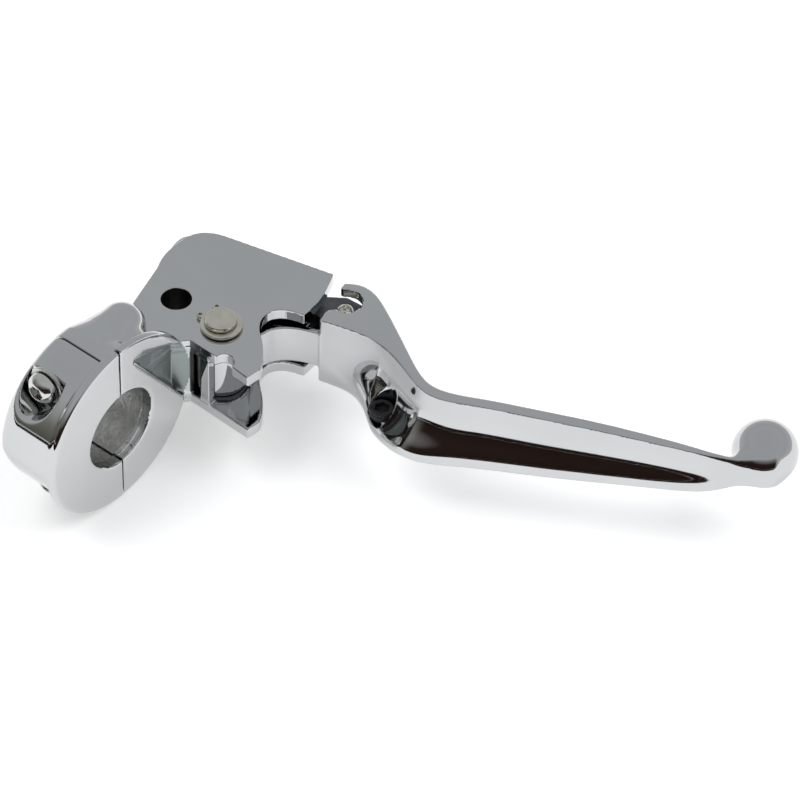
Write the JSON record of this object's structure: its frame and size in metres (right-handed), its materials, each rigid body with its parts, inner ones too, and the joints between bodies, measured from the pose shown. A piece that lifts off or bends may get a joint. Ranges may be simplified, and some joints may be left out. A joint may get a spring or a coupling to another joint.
{
  "type": "clutch lever",
  "caption": "Chromed cable clutch lever for a motorcycle handlebar, with a split clamp perch, a pivoted lever with a ball end and an adjustable reach.",
  "frame": {"origin": "centre of the handlebar bore, half way along the clamp", "axes": "+X along the handlebar towards the lever's ball end, +Y from the handlebar to the lever's pivot, +Z along the pivot towards its retaining ring (the underside when it is ridden)"},
  "size_m": [0.1861, 0.1499, 0.058],
  "materials": {
    "chrome": "mirror-bright chrome plate",
    "nickel": "bright nickel plate, slightly warm",
    "steel": "plain zinc-plated steel",
    "spring_steel": "dark bright-drawn steel",
    "black_oxide": "black oxide with a film of oil",
    "bronze": "plain bearing bronze"
  },
  "bodies": {
    "perch": {"bracket": "chrome", "clamp_cap": "chrome", "upper_clamp_screw": "nickel", "lower_clamp_screw": "nickel", "upper_clamp_washer": "steel", "lower_clamp_washer": "steel", "pivot_pin": "nickel", "pivot_retaining_ring": "nickel", "thrust_washer": "steel", "anti_rattle_washer": "spring_steel"},
    "arm": {"pivot_arm": "spring_steel", "arm_bush": "bronze", "anchor_screw": "nickel", "anchor_nut": "steel"},
    "lever": {"lever_body": "chrome", "upper_lever_bush": "bronze", "lower_lever_bush": "bronze"},
    "reach_screw": {"reach_screw": "black_oxide"},
    "anchor_sleeve": {"anchor_sleeve": "steel"}
  },
  "joints": [
    {"name": "lever_pivot", "type": "hinge", "parent": "perch", "child": "arm", "pos_m": [0.0131, 0.0396, 0], "axis": [0, 0, 1], "range_deg": [-26, 0]},
    {"name": "reach_adjust", "type": "hinge", "parent": "arm", "child": "lever", "pos_m": [0.0131, 0.0396, 0], "axis": [0, 0, 1], "range_deg": [-2, 0]},
    {"name": "reach_screw_travel", "type": "slide", "parent": "lever", "child": "reach_screw", "axis": [0, 0, -1], "range_m": [0, 0.0016]},
    {"name": "anchor_swivel", "type": "hinge", "parent": "arm", "child": "anchor_sleeve", "pos_m": [0.0326, 0.0714, 0], "axis": [0, 0, 1], "continuous": true}
  ],
  "couplings": [
    {"joint": "reach_screw_travel", "follows": "reach_adjust", "m_per_rad": -0.0415}
  ]
}
